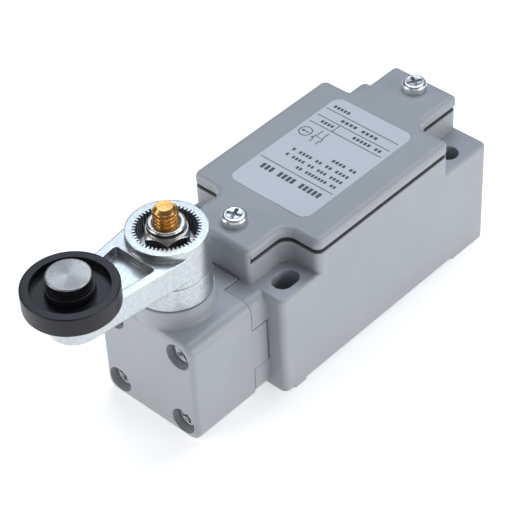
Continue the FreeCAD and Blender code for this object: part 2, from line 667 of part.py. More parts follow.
# ---- lever ----
def toothed_ring(root_r, crest_r, z0, z1):
    """Serrated prism about the shaft axis, for the spigot and for cutting the toothed bore."""
    points = []
    for i in range(TEETH):
        for share, high in ((-0.30, False), (-0.14, True), (0.14, True), (0.30, False)):
            a = 2 * pi * (i + share) / TEETH
            r = crest_r if high else root_r
            points.append(Vector(r * cos(a), SHAFT_Y + r * sin(a), z0))
    points.append(points[0])
    return Part.Face(Part.makePolygon(points)).extrude(Vector(0, 0, z1 - z0))


def arm_outline(z0, z1, inset=0.0):
    """Plan of the arm: hub circle, roller boss circle and the two flanks that touch both."""
    slope = (HUB_R - BOSS_R) / LEVER_LEN
    side = sqrt(1 - slope * slope)
    r0, r1 = HUB_R - inset, BOSS_R - inset
    right0 = Vector(r0 * side, SHAFT_Y + r0 * slope, z0)
    right1 = Vector(r1 * side, ROLLER_Y + r1 * slope, z0)
    left0 = Vector(-right0.x, right0.y, z0)
    left1 = Vector(-right1.x, right1.y, z0)
    wire = Part.Wire([
        Part.makeLine(right0, right1),
        Part.Arc(right1, Vector(0, ROLLER_Y + r1, z0), left1).toShape(),
        Part.makeLine(left1, left0),
        Part.Arc(left0, Vector(0, SHAFT_Y - r0, z0), right0).toShape(),
    ])
    return Part.Face(wire).extrude(Vector(0, 0, z1 - z0))


def arm_pocket():
    """Recess in the top of the arm between the hub and the roller boss."""
    z0 = ARM_TOP - POCKET_DEPTH
    y0 = SHAFT_Y + HUB_R + POCKET_HUB_GAP
    y1 = ROLLER_Y - BOSS_R - POCKET_BOSS_GAP
    solid = arm_outline(z0, ARM_TOP + 1, POCKET_WALL).common(box(-30, 30, y0, y1, z0, ARM_TOP + 1))
    return round_edges(solid, POCKET_CORNER_R, Z_AXIS)


def lever_arm():
    arm = arm_outline(ARM_Z0, ARM_TOP).cut(arm_pocket())
    hub = rod_z(0, SHAFT_Y, HUB_Z0, HUB_TOP, HUB_R)
    solid = arm.fuse(hub).removeSplitter()
    web_top = HUB_WEB_Z0 + HUB_WEB_T
    return solid.cut([
        toothed_ring(TOOTH_CREST_R, TOOTH_ROOT_R, HUB_Z0 - 1, HUB_WEB_Z0),
        toothed_ring(TOOTH_CREST_R, TOOTH_ROOT_R, web_top, HUB_TOP + 1),
        rod_z(0, SHAFT_Y, HUB_Z0, HUB_TOP, STUD_HOLE_R),
        rod_z(0, ROLLER_Y, ARM_Z0 - 1, ARM_TOP + 1, PIN_R),
    ])


def drive_disc():
    body = rod_z(0, SHAFT_Y, DISC_Z0, DISC_TOP, HUB_R)
    spigot = toothed_ring(TOOTH_CREST_R - 0.1, TOOTH_ROOT_R - 0.1, DISC_TOP - 0.5, HUB_WEB_Z0 - 0.1)
    return body.fuse(spigot).removeSplitter().cut(drive_square(DISC_Z0 - 1, HUB_TOP))


def hub_washer():
    z0 = HUB_WEB_Z0 + HUB_WEB_T
    return ring(SHAFT_Y, z0, z0 + WASHER_T, STUD_HOLE_R, WASHER_R)


def nut_insert():
    z0 = NUT_Z0 + NUT_HEX_H
    return ring(SHAFT_Y, z0, z0 + 1.2, STUD_R, NUT_COLLAR_R - 0.7)


def lock_nut():
    corner = NUT_AF / sqrt(3)
    points = [Vector(corner * cos(radians(a)), SHAFT_Y + corner * sin(radians(a)), NUT_Z0)
              for a in range(-44, 317, 60)]
    hexagon = Part.Face(Part.makePolygon(points)).extrude(Vector(0, 0, NUT_HEX_H))
    bevel = cone_z(0, SHAFT_Y, NUT_Z0 + NUT_HEX_H - 1.0, NUT_Z0 + NUT_HEX_H, corner + 0.1, NUT_AF / 2 - 0.15)
    barrel = rod_z(0, SHAFT_Y, NUT_Z0 - 0.1, NUT_Z0 + NUT_HEX_H - 1.0, corner + 0.1)
    hexagon = hexagon.common(union([bevel, barrel]))
    collar = rod_z(0, SHAFT_Y, NUT_Z0 + NUT_HEX_H - 0.5, NUT_Z0 + NUT_H, NUT_COLLAR_R)
    collar = collar.makeFillet(0.5, [e for e in collar.Edges if isinstance(e.Curve, Part.Circle)
                                     and abs(e.BoundBox.ZMin - NUT_Z0 - NUT_H) < 0.01])
    solid = hexagon.fuse(collar).removeSplitter()
    return solid.cut([
        rod_z(0, SHAFT_Y, NUT_Z0 - 1, NUT_Z0 + NUT_H + 1, STUD_R),
        rod_z(0, SHAFT_Y, NUT_Z0 + NUT_HEX_H, NUT_Z0 + NUT_HEX_H + 1.2, NUT_COLLAR_R - 0.7),
        rod_z(0, SHAFT_Y, NUT_Z0 + NUT_HEX_H, NUT_Z0 + NUT_H + 1, STUD_R + 0.35),
    ])


# ---- roller ----
def roller():
    z0, z1 = ROLLER_Z0, ROLLER_Z0 + ROLLER_T
    rim = rod_z(0, ROLLER_Y, z0, z1, ROLLER_R)
    outer = [e for e in rim.Edges if isinstance(e.Curve, Part.Circle)]
    rim = rim.makeFillet(ROLLER_EDGE_R, outer)
    rim = rim.cut([
        rod_z(0, ROLLER_Y, z1 - ROLLER_RECESS, z1 + 1, ROLLER_RECESS_R),
        rod_z(0, ROLLER_Y, z0 - 1, z0 + ROLLER_RECESS, ROLLER_RECESS_R),
    ])
    hub = rod_z(0, ROLLER_Y, z0 - ROLLER_HUB_STAND, z1 + ROLLER_HUB_STAND, ROLLER_HUB_R)
    bore = rod_z(0, ROLLER_Y, z0 - 1, z1 + 1, PIN_R + RUN_CLEAR)
    return rim.fuse(hub).removeSplitter().cut(bore)


def roller_pin():
    z_top = PIN_HEAD_Z0 + PIN_HEAD_T
    head = rod_z(0, ROLLER_Y, PIN_HEAD_Z0, z_top, PIN_HEAD_R)
    head = head.makeFillet(0.3, [e for e in head.Edges if isinstance(e.Curve, Part.Circle)
                                 and abs(e.BoundBox.ZMin - z_top) < 0.01])
    rivet = cone_z(0, ROLLER_Y, ARM_Z0 - PIN_RIVET_T, ARM_Z0, PIN_R, PIN_RIVET_R)
    return union([head, rod_z(0, ROLLER_Y, ARM_Z0 - 0.1, PIN_HEAD_Z0 + 0.1, PIN_R), rivet])


# ---- contact block ----
def block_screw_y():
    return BLOCK_Y0 + BLOCK_SCREW_IN


def contact_block_base():
    shell = box(-BLOCK_HALF_W, BLOCK_HALF_W, BLOCK_Y0, BLOCK_Y1, BLOCK_Z0, BLOCK_RIM_Z)
    shell = round_edges(shell, 0.8, Z_AXIS)
    inner = box(-BLOCK_HALF_W + 1.6, BLOCK_HALF_W - 1.6, BLOCK_Y0 + BLOCK_WALL, BLOCK_Y1 - BLOCK_WALL,
                BLOCK_Z0 + BLOCK_WALL, BLOCK_RIM_Z + 1)
    posts = both_sides(box(BLOCK_HALF_W - POST_SIZE, BLOCK_HALF_W - 0.5,
                           BLOCK_Y0 + 0.5, BLOCK_Y0 + POST_SIZE,
                           BLOCK_Z0 + 0.5, BLOCK_RIM_Z))
    solid = shell.cut(inner).fuse(posts).removeSplitter()
    cuts = [
        rod_y(0, AXIS_Z, BLOCK_Y1 - BLOCK_WALL - 1, BLOCK_Y1 + 1, STEM_R + 0.1),
        rod_y(0, AXIS_Z, BLOCK_Y0 - 1, BLOCK_Y0 + BLOCK_WALL + 1, TAIL_R + 0.1),
    ]
    for sx in (-1, 1):
        cuts.append(rod_z(sx * BLOCK_SCREW_X, block_screw_y(), BLOCK_Z0 - 1, BLOCK_RIM_Z + 1, M3[0] + 0.1))
        cuts.append(rod_z(sx * PEG_X, PEG_Y, BLOCK_Z0 - 1, BLOCK_Z0 + BLOCK_WALL + 1, 1.3))
    return solid.cut(cuts)


def contact_block_lid():
    plate = box(-BLOCK_HALF_W, BLOCK_HALF_W, BLOCK_Y0, BLOCK_Y1, BLOCK_RIM_Z, LID_TOP)
    plate = round_edges(plate, 0.8, Z_AXIS)
    top = LID_TOP + BARRIER_H
    mid_y = (TERMINAL_Y[0] + TERMINAL_Y[1]) / 2
    ribs = [
        box(-2, 2, BLOCK_Y0 + 6, BLOCK_Y1, LID_TOP - 0.5, top),
        box(-BLOCK_HALF_W, BLOCK_HALF_W, mid_y - BARRIER_T / 2, mid_y + BARRIER_T / 2, LID_TOP - 0.5, top),
        box(-BLOCK_HALF_W, BLOCK_HALF_W, BLOCK_Y1 - BARRIER_T, BLOCK_Y1, LID_TOP - 0.5, top - 2),
    ]
    solid = union([plate] + ribs)
    cuts = []
    for y in (NC_STRIP_Y, NO_STRIP_Y):
        cuts += both_sides(box(RISER_X0 - 0.1, RISER_X0 + RISER_W + 0.1, y - 0.1, y + STRIP_T + 0.1,
                               BLOCK_RIM_Z - 1, LID_TOP + 1))
    for y in TERMINAL_Y:
        cuts += both_sides(rod_z(TERMINAL_X, y, BLOCK_RIM_Z - 1, LID_TOP + 1, M35[0] + SCREW_CLEAR))
    cuts += [rod_z(sx * BLOCK_SCREW_X, block_screw_y(), BLOCK_RIM_Z - 1, LID_TOP + 1, M3[0] + 0.1)
             for sx in (-1, 1)]
    return solid.cut(cuts)


def contact_block_screws():
    length = LID_TOP - WALL_Z0 - 1.6
    return [place(screw(M3, length), sx * BLOCK_SCREW_X, block_screw_y(), LID_TOP, turn=25 * sx)
            for sx in (-1, 1)]


def fixed_strip(strip_y, tab_y0, terminal_y):
    """Inner leg with a riser through the lid, and the terminal tab bent over the lid."""
    z0, z1 = AXIS_Z - BRIDGE_W / 2, AXIS_Z + BRIDGE_W / 2
    x1 = BLOCK_HALF_W - 1.7
    solid = union([
        box(STRIP_IN_X, x1, strip_y, strip_y + STRIP_T, z0, z1),
        box(RISER_X0, RISER_X0 + RISER_W, strip_y, strip_y + STRIP_T, z0, LID_TOP + STRIP_T),
        box(TERMINAL_X - TERMINAL_W / 2, TERMINAL_X + TERMINAL_W / 2, tab_y0, tab_y0 + TERMINAL_TAB,
            LID_TOP, LID_TOP + STRIP_T),
    ])
    return solid.cut(rod_z(TERMINAL_X, terminal_y, LID_TOP - 1, LID_TOP + 3, M35[0]))


def nc_fixed_contacts():
    return both_sides(fixed_strip(NC_STRIP_Y, NC_STRIP_Y + STRIP_T - TERMINAL_TAB, TERMINAL_Y[0]))


def no_fixed_contacts():
    return both_sides(fixed_strip(NO_STRIP_Y, NO_STRIP_Y, TERMINAL_Y[1]))


def tips(places):
    return [rod_y(sx * TIP_X, AXIS_Z, y, y + TIP_T, TIP_R) for y in places for sx in (-1, 1)]


def fixed_contact_tips():
    return tips((NC_STRIP_Y - TIP_T, NO_STRIP_Y + STRIP_T))


def moving_contact_tips():
    return tips((NC_BRIDGE_Y + BRIDGE_T, NO_BRIDGE_Y - TIP_T))


def terminal_places():
    return [(sx * TERMINAL_X, y) for y in TERMINAL_Y for sx in (-1, 1)]


def clamp_plate(x, y, z):
    half = CLAMP / 2
    plate = round_edges(box(x - half, x + half, y - half, y + half, z, z + CLAMP_T), 0.6, Z_AXIS)
    return plate.cut(rod_z(x, y, z - 1, z + 2, M35[0] + 0.1))


def terminal_clamps():
    return [clamp_plate(x, y, LID_TOP + STRIP_T) for x, y in terminal_places()]


def terminal_screws():
    z = LID_TOP + STRIP_T + CLAMP_T
    return [place(screw(M35, TERMINAL_SCREW_LEN), x, y, z, turn=turn)
            for (x, y), turn in zip(terminal_places(), (10, 55, 80, 33))]


def earth_clamp():
    return clamp_plate(EARTH_X, EARTH_Y, EARTH_PILLAR_Z)


def earth_screw():
    return place(screw(M35, EARTH_SCREW_LEN), EARTH_X, EARTH_Y, EARTH_PILLAR_Z + CLAMP_T, turn=40)


def bridge(y):
    half = BRIDGE_W / 2
    solid = box(-BRIDGE_HALF, BRIDGE_HALF, y, y + BRIDGE_T, AXIS_Z - half, AXIS_Z + half)
    return round_edges(solid, 1.0, Y_AXIS)


def contact_plunger():
    x, z = CARRIAGE_X, CARRIAGE_Z
    solid = union([
        box(-x, x, CARRIAGE_Y0, CARRIAGE_Y1, AXIS_Z - z, AXIS_Z + z),
        rod_y(0, AXIS_Z, CARRIAGE_Y1 - 1, STEM_TOP_Y, STEM_R),
        rod_y(0, AXIS_Z, CARRIAGE_Y0 - TAIL_LEN, CARRIAGE_Y0 + 0.5, TAIL_R),
    ])
    half = BRIDGE_W / 2 + 0.2
    room = BRIDGE_T + BRIDGE_SPRING_LEN
    windows = [box(-x - 1, x + 1, y, y + room, AXIS_Z - half, AXIS_Z + half)
               for y in (NC_BRIDGE_Y - BRIDGE_SPRING_LEN, NO_BRIDGE_Y)]
    return solid.cut(windows)


def bridge_springs():
    nc = coil(0, NC_BRIDGE_Y - BRIDGE_SPRING_LEN, NC_BRIDGE_Y, AXIS_Z, BRIDGE_SPRING_R, BRIDGE_WIRE, 3)
    no_y = NO_BRIDGE_Y + BRIDGE_T
    return [nc, coil(0, no_y, no_y + BRIDGE_SPRING_LEN, AXIS_Z, BRIDGE_SPRING_R, BRIDGE_WIRE, 3)]


def plunger_spring():
    mean_r = TAIL_R + 0.3 + PLUNGER_WIRE / 2
    return coil(0, BLOCK_Y0 + BLOCK_WALL, CARRIAGE_Y0, AXIS_Z, mean_r, PLUNGER_WIRE, 6)


# ---- every node ----
NODES = {
    "housing": housing,
    "front_cover": front_cover,
    "cover_gasket": cover_gasket,
    "cover_screws": cover_screws,
    "label_plate": label_plate,
    "head_housing": head_housing,
    "head_gasket": head_gasket,
    "head_screws": head_screws,
    "upper_bush": upper_bush,
    "lower_bush": lower_bush,
    "shaft_seal": shaft_seal,
    "lever_shaft": lever_shaft,
    "cam": cam,
    "cam_pin": cam_pin,
    "tappet_guide": tappet_guide,
    "tappet": tappet,
    "tappet_spring": tappet_spring,
    "drive_disc": drive_disc,
    "lever_arm": lever_arm,
    "hub_washer": hub_washer,
    "lock_nut": lock_nut,
    "nut_insert": nut_insert,
    "roller": roller,
    "roller_pin": roller_pin,
    "contact_block_base": contact_block_base,
    "contact_block_lid": contact_block_lid,
    "contact_block_screws": contact_block_screws,
    "no_fixed_contacts": no_fixed_contacts,
    "nc_fixed_contacts": nc_fixed_contacts,
    "fixed_contact_tips": fixed_contact_tips,
    "terminal_screws": terminal_screws,
    "terminal_clamps": terminal_clamps,
    "earth_screw": earth_screw,
    "earth_clamp": earth_clamp,
    "contact_plunger": contact_plunger,
    "no_bridge": lambda: bridge(NO_BRIDGE_Y),
    "nc_bridge": lambda: bridge(NC_BRIDGE_Y),
    "moving_contact_tips": moving_contact_tips,
    "bridge_springs": bridge_springs,
    "plunger_spring": plunger_spring,
}


def write(name, made):
    solids = made if isinstance(made, list) else [made]
    flat = [s for piece in solids for s in piece.Solids]
    if len(flat) != len(solids):
        raise ValueError(f"{name}: {len(flat)} solids from {len(solids)} pieces")
    if not all(s.isValid() for s in flat):
        raise ValueError(f"{name}: a solid is not valid")
    shape = flat[0] if len(flat) == 1 else Part.makeCompound(flat)
    shape.exportStep(f"parts/{name}.step")


os.makedirs("parts", exist_ok=True)
for node_name, make in NODES.items():
    write(node_name, make())
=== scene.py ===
"""Looks of a limit switch with a side roller lever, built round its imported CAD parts.

The script follows the switch as it is put together: the stand it is shown on, the housing, the contact
block inside, the cover and its label, the operating head, the shaft and lever, and last the roller.
Sizes are in millimetres, times MM where a mesh or a node needs metres.
"""
from math import cos, pi, radians, sin

import bpy
from mathutils import Matrix, Vector


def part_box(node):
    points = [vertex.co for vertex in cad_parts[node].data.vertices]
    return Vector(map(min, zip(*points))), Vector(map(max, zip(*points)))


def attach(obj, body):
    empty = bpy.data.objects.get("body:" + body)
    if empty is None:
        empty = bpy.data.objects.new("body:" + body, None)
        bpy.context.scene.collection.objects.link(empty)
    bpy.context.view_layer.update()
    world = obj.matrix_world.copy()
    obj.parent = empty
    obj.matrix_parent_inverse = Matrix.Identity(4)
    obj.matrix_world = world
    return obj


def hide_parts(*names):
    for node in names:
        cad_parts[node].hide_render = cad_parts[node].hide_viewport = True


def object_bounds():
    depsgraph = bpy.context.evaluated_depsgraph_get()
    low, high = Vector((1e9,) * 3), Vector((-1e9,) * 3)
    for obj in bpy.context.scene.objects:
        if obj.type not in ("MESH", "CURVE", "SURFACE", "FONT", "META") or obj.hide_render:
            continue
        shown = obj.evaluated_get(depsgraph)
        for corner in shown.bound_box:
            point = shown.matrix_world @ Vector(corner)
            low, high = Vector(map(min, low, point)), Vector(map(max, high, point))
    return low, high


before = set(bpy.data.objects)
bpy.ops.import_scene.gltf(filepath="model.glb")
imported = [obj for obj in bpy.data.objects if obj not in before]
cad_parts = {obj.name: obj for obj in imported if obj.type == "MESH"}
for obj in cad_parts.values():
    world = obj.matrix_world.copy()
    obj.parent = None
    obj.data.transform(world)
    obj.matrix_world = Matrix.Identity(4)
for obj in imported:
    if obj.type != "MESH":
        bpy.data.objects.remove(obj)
cad_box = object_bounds()
MM = 0.001


# ---- camera ----
# A long lens, half a metre away, looks down at the head end and the left side of the switch. It leans a
# little to one side.
CAMERA_PLACE = Vector((-248.3, 273.7, 341.8)) * MM
CAMERA_TURN = radians(-45.11)      # heading of the view, from +X
CAMERA_TILT = radians(-42.0)       # below the horizon
CAMERA_LEAN = radians(-3.28)
CAMERA_LENS = 140.23
CAMERA_SENSOR = 36.0
NEAREST_SEEN = 0.01                # metres


def add_camera():
    level = cos(CAMERA_TILT)
    heading = Vector((cos(CAMERA_TURN) * level, sin(CAMERA_TURN) * level, sin(CAMERA_TILT)))
    upright = heading.to_track_quat("-Z", "Y").to_matrix().to_4x4()
    turn = upright @ Matrix.Rotation(CAMERA_LEAN, 4, "Z")
    lens = bpy.data.cameras.new("camera")
    lens.lens = CAMERA_LENS
    lens.sensor_width = CAMERA_SENSOR
    lens.clip_start = NEAREST_SEEN
    camera = bpy.data.objects.new("camera", lens)
    camera.matrix_world = Matrix.Translation(CAMERA_PLACE) @ turn
    bpy.context.scene.collection.objects.link(camera)
    bpy.context.scene.camera = camera


add_camera()


# ---- studio ----
# A white table that glows a little, and soft boxes. Three boxes stand low round the switch, so its upright
# sides are lighter than the faces that look up, which take a cooler light from above. All is in metres.
LIGHT_AIM = Vector((0.0, 0.02, 0.02))
SKY_TINT = (0.93, 0.95, 1.0, 1.0)
SKY_STRENGTH = 0.16
TABLE_HALF = 4.0
TABLE_DROP = 0.0002                # a hair below the feet
TABLE_TINT = (0.93, 0.93, 0.935, 1.0)
TABLE_GLOW = 0.45


def add_soft_box(name, place, size, watts, tint=(1.0, 1.0, 1.0)):
    box = bpy.data.lights.new(name, "AREA")
    box.shape = "RECTANGLE"
    box.size = size[0]
    box.size_y = size[1]
    box.energy = watts
    box.color = tint
    lamp = bpy.data.objects.new(name, box)
    place = Vector(place)
    facing = (LIGHT_AIM - place).to_track_quat("-Z", "Y").to_matrix().to_4x4()
    lamp.matrix_world = Matrix.Translation(place) @ facing
    bpy.context.scene.collection.objects.link(lamp)


add_soft_box("side_box", (-0.70, -0.22, 0.22), (0.60, 0.40), 2.9)
add_soft_box("end_box", (0.42, 0.70, 0.24), (0.50, 0.40), 3.1)
add_soft_box("front_box", (-0.50, 0.50, 0.30), (0.60, 0.30), 0.5)
add_soft_box("top_box", (0.15, -0.30, 0.75), (0.70, 0.50), 4.5, (0.78, 0.87, 1.0))


def add_sky():
    world = bpy.data.worlds.new("studio")
    world.use_nodes = True
    sky = world.node_tree.nodes["Background"]
    sky.inputs["Color"].default_value = SKY_TINT
    sky.inputs["Strength"].default_value = SKY_STRENGTH
    bpy.context.scene.world = world
    bpy.context.scene.view_settings.view_transform = "Standard"


add_sky()


def add_table():
    """Pale sheet, wide enough for every view, with a faint paper grain."""
    floor_z = cad_box[0][2] - TABLE_DROP
    sheet = bpy.data.meshes.new("table_sheet")
    quarters = ((-1, -1), (1, -1), (1, 1), (-1, 1))
    corners = [(x * TABLE_HALF, y * TABLE_HALF, floor_z) for x, y in quarters]
    sheet.from_pydata(corners, [], [(0, 1, 2, 3)])
    table = bpy.data.objects.new("table_sheet", sheet)
    bpy.context.scene.collection.objects.link(table)
    paper = bpy.data.materials.new("table_paper")
    paper.use_nodes = True
    nodes = paper.node_tree.nodes
    grain = nodes.new("ShaderNodeTexNoise")
    grain.inputs["Scale"].default_value = 300.0
    relief = nodes.new("ShaderNodeBump")
    relief.inputs["Strength"].default_value = 0.05
    relief.inputs["Distance"].default_value = 0.0001
    shader = nodes["Principled BSDF"]
    shader.inputs["Base Color"].default_value = TABLE_TINT
    shader.inputs["Roughness"].default_value = 0.8
    shader.inputs["Emission Color"].default_value = (1.0, 1.0, 1.0, 1.0)
    shader.inputs["Emission Strength"].default_value = TABLE_GLOW
    paper.node_tree.links.new(grain.outputs["Fac"], relief.inputs["Height"])
    paper.node_tree.links.new(relief.outputs["Normal"], shader.inputs["Normal"])
    sheet.materials.append(paper)


add_table()


# ---- housing ----
# Die-cast aluminium body with a deep chamber, four ears and a tapped conduit entry in its lower end.
# It is powder painted in a satin blue grey: the skin shows a fine orange peel over softened edges.
# Along rounded edges the colour pales: a painted highlight, on paint and metal alike.
EDGE_HIGHLIGHT_STARTS = 0.985                # cosine of the lean of a softened edge from its true face
EDGE_HIGHLIGHT_FULL = 0.80
EDGE_HIGHLIGHT_GAIN = 1.5                    # a painted highlight on an edge is this much lighter than the lightest cloud, plus this
EDGE_HIGHLIGHT_LIFT = 0.12                   # plus this


def finish(name, light, dark, metal, gloss, grain, relief, rounding=0.25, patch=9.0, edge_highlight=0.25):
    """Surface whose colour, gloss and relief all wander: grain is its finest mark and patch its
    broadest cloud, both in mm. gloss is (low, high) roughness, relief the depth in mm, and the last
    argument how far the colour pales along rounded edges, a painted highlight where light catches them."""
    material = bpy.data.materials.new(name)
    material.use_nodes = True
    nodes = material.node_tree.nodes
    wires = material.node_tree.links
    shader = nodes["Principled BSDF"]
    place = nodes.new("ShaderNodeTexCoord")

    cloud = nodes.new("ShaderNodeTexNoise")
    cloud.inputs["Scale"].default_value = 1.0 / (patch * MM)
    cloud.inputs["Detail"].default_value = 5.0
    cloud.inputs["Roughness"].default_value = 0.6
    wires.new(place.outputs["Object"], cloud.inputs["Vector"])

    tint = nodes.new("ShaderNodeValToRGB")
    tint.color_ramp.elements[0].position = 0.3
    tint.color_ramp.elements[0].color = (*dark, 1.0)
    tint.color_ramp.elements[1].position = 0.7
    tint.color_ramp.elements[1].color = (*light, 1.0)
    wires.new(cloud.outputs["Fac"], tint.inputs["Fac"])

    skin = nodes.new("ShaderNodeTexNoise")
    skin.name = "skin"
    skin.inputs["Scale"].default_value = 1.0 / (grain * MM)
    skin.inputs["Detail"].default_value = 3.0
    wires.new(place.outputs["Object"], skin.inputs["Vector"])

    sheen = nodes.new("ShaderNodeMapRange")
    sheen.inputs["To Min"].default_value = gloss[0]
    sheen.inputs["To Max"].default_value = gloss[1]
    wires.new(skin.outputs["Fac"], sheen.inputs["Value"])
    wires.new(sheen.outputs["Result"], shader.inputs["Roughness"])

    edge = nodes.new("ShaderNodeBevel")
    edge.samples = 6
    edge.inputs["Radius"].default_value = rounding * MM
    flat = nodes.new("ShaderNodeNewGeometry")
    lean = nodes.new("ShaderNodeVectorMath")
    lean.operation = "DOT_PRODUCT"
    wires.new(edge.outputs["Normal"], lean.inputs[0])
    wires.new(flat.outputs["Normal"], lean.inputs[1])
    # Painted highlight: the colour turns paler where the rounded normal leans away from the face.
    edge_highlight_mask = nodes.new("ShaderNodeMapRange")
    edge_highlight_mask.inputs["From Min"].default_value = EDGE_HIGHLIGHT_STARTS
    edge_highlight_mask.inputs["From Max"].default_value = EDGE_HIGHLIGHT_FULL
    edge_highlight_mask.inputs["To Max"].default_value = edge_highlight
    wires.new(lean.outputs["Value"], edge_highlight_mask.inputs["Value"])
    edge_highlight_colour = [min(1.0, c * EDGE_HIGHLIGHT_GAIN + EDGE_HIGHLIGHT_LIFT) for c in light]
    edge_highlight_mix = nodes.new("ShaderNodeMix")
    edge_highlight_mix.data_type = "RGBA"
    edge_highlight_mix.inputs["B"].default_value = (*edge_highlight_colour, 1.0)
    wires.new(edge_highlight_mask.outputs["Result"], edge_highlight_mix.inputs["Factor"])
    wires.new(tint.outputs["Color"], edge_highlight_mix.inputs["A"])
    wires.new(edge_highlight_mix.outputs["Result"], shader.inputs["Base Color"])

    bump = nodes.new("ShaderNodeBump")
    bump.name = "relief"
    bump.inputs["Strength"].default_value = 1.0
    bump.inputs["Distance"].default_value = relief * MM
    wires.new(skin.outputs["Fac"], bump.inputs["Height"])
    wires.new(edge.outputs["Normal"], bump.inputs["Normal"])
    wires.new(bump.outputs["Normal"], shader.inputs["Normal"])
    shader.inputs["Metallic"].default_value = metal
    return material


def dress(node, material):
    """Give a CAD node a finish in each of its material slots."""
    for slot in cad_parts[node].material_slots:
        slot.material = material


def add_piece(name, points, faces, material, body, sharp=40.0):
    """Closed mesh in millimetres, smooth but for its sharp corners, riding on a body."""
    mesh = bpy.data.meshes.new(name)
    mesh.from_pydata([Vector(p) * MM for p in points], [], faces)
    mesh.validate()
    mesh.shade_smooth()
    mesh.set_sharp_from_angle(angle=radians(sharp))
    mesh.materials.append(material)
    piece = bpy.data.objects.new(name, mesh)
    bpy.context.scene.collection.objects.link(piece)
    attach(piece, body)
    return piece


# Its rounded edges are paled by a painted highlight.
satin_paint = finish("satin_grey_paint", (0.350, 0.368, 0.388), (0.326, 0.345, 0.367), 0.0, (0.34, 0.50),
                     0.45, 0.004, 0.40, 14.0, 0.30)
paint_shader = satin_paint.node_tree.nodes["Principled BSDF"]
paint_shader.inputs["Coat Weight"].default_value = 0.12
paint_shader.inputs["Coat Roughness"].default_value = 0.35
dress("housing", satin_paint)


# ---- thread of the conduit entry ----
# The tapped wall of the M20 hole: twelve millimetres of fine thread, bright where the tap has cut
# through the paint. The thread fades out towards a plain face at each end.
ENTRY_CORE_R = 8.95
ENTRY_WALL_R = 9.25
ENTRY_PITCH = 1.5
ENTRY_LEN = 12.0
ENTRY_INSET = 0.15                 # from the mouth and from the bottom of the hole
ENTRY_SKIN = 0.05                  # least thickness left behind the root
ENTRY_FACETS = 72
ENTRY_ROWS = 97
ENTRY_FADE_ROWS = 6.0
BODY_AXIS_Z = 15.2                 # height of the line through the entry and the tappet
CREST_TOP = 0.875                  # where the flank starts and how long it is, in shares of a turn
FLANK = 0.75


def thread_height(turns):
    """Share of the full thread height, 0 in the root and 1 on the flat crest."""
    rise = abs(2.0 * (turns % 1.0) - 1.0)
    return min(1.0, max(0.0, (CREST_TOP - rise) / FLANK))


def entry_thread():
    low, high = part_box("housing")
    mouth = low[1] / MM
    points = []
    for row in range(ENTRY_ROWS):
        y = mouth + ENTRY_INSET + (ENTRY_LEN - 2 * ENTRY_INSET) * row / (ENTRY_ROWS - 1)
        fade = min(1.0, row / ENTRY_FADE_ROWS, (ENTRY_ROWS - 1 - row) / ENTRY_FADE_ROWS)
        for step in range(ENTRY_FACETS):
            a = 2 * pi * step / ENTRY_FACETS
            height = fade * (ENTRY_WALL_R - ENTRY_CORE_R) * thread_height(y / ENTRY_PITCH - a / (2 * pi))
            r = ENTRY_WALL_R - ENTRY_SKIN - height
            points.append((r * cos(a), y, BODY_AXIS_Z + r * sin(a)))
    for y in (mouth + ENTRY_LEN - ENTRY_INSET, mouth + ENTRY_INSET):
        for step in range(ENTRY_FACETS):
            a = 2 * pi * step / ENTRY_FACETS
            points.append((ENTRY_WALL_R * cos(a), y, BODY_AXIS_Z + ENTRY_WALL_R * sin(a)))
    rings = ENTRY_ROWS + 2
    faces = []
    for row in range(rings):
        here = row * ENTRY_FACETS
        there = (row + 1) % rings * ENTRY_FACETS
        for step in range(ENTRY_FACETS):
            nxt = (step + 1) % ENTRY_FACETS
            faces.append((here + step, here + nxt, there + nxt, there + step))
    add_piece("entry_thread", points, faces, cut_metal, "root")


cut_metal = finish("cut_aluminium", (0.72, 0.73, 0.74), (0.55, 0.56, 0.58), 1.0, (0.25, 0.45),
                   0.3, 0.003, 0.05)
entry_thread()


# ---- cover gasket, head gasket, shaft seal ----
# Moulded nitrile rubber, matt black, pressed thin between the castings so that only its edge shows.
matt_rubber = finish("matt_black_rubber", (0.022, 0.022, 0.024), (0.012, 0.012, 0.014), 0.0, (0.55, 0.80),
                     0.25, 0.006, 0.15)
dress("cover_gasket", matt_rubber)
dress("head_gasket", matt_rubber)
dress("shaft_seal", matt_rubber)


# ---- contact block ----
# Black thermoset body and lid that carry two fixed pairs of brass strips with silver tips, and a red
# plunger with the two moving bridges. The lid is open over the four terminal screws.
black_thermoset = finish("black_thermoset", (0.050, 0.050, 0.055), (0.032, 0.032, 0.036), 0.0, (0.38, 0.55),
                         0.35, 0.004, 0.2)
red_nylon = finish("red_plunger_plastic", (0.52, 0.085, 0.06), (0.42, 0.06, 0.045), 0.0, (0.30, 0.42),
                   0.5, 0.002, 0.2)
stamped_brass = finish("stamped_brass", (0.80, 0.60, 0.28), (0.66, 0.47, 0.20), 1.0, (0.22, 0.40),
                       0.18, 0.002, 0.1)
silver_alloy = finish("silver_alloy", (0.90, 0.89, 0.86), (0.78, 0.77, 0.74), 1.0, (0.15, 0.30),
                      0.15, 0.001, 0.1)
drawn_wire = finish("drawn_spring_wire", (0.50, 0.50, 0.51), (0.34, 0.34, 0.36), 1.0, (0.22, 0.36),
                    0.12, 0.002, 0.05)
plated_steel = finish("zinc_plated_steel", (0.78, 0.80, 0.82), (0.62, 0.64, 0.66), 1.0, (0.24, 0.42),
                      0.25, 0.003, 0.15, 3.0)
for part in ("contact_block_base", "contact_block_lid"):
    dress(part, black_thermoset)
dress("contact_plunger", red_nylon)
for part in ("no_fixed_contacts", "nc_fixed_contacts", "no_bridge", "nc_bridge", "earth_clamp"):
    dress(part, stamped_brass)
for part in ("fixed_contact_tips", "moving_contact_tips"):
    dress(part, silver_alloy)
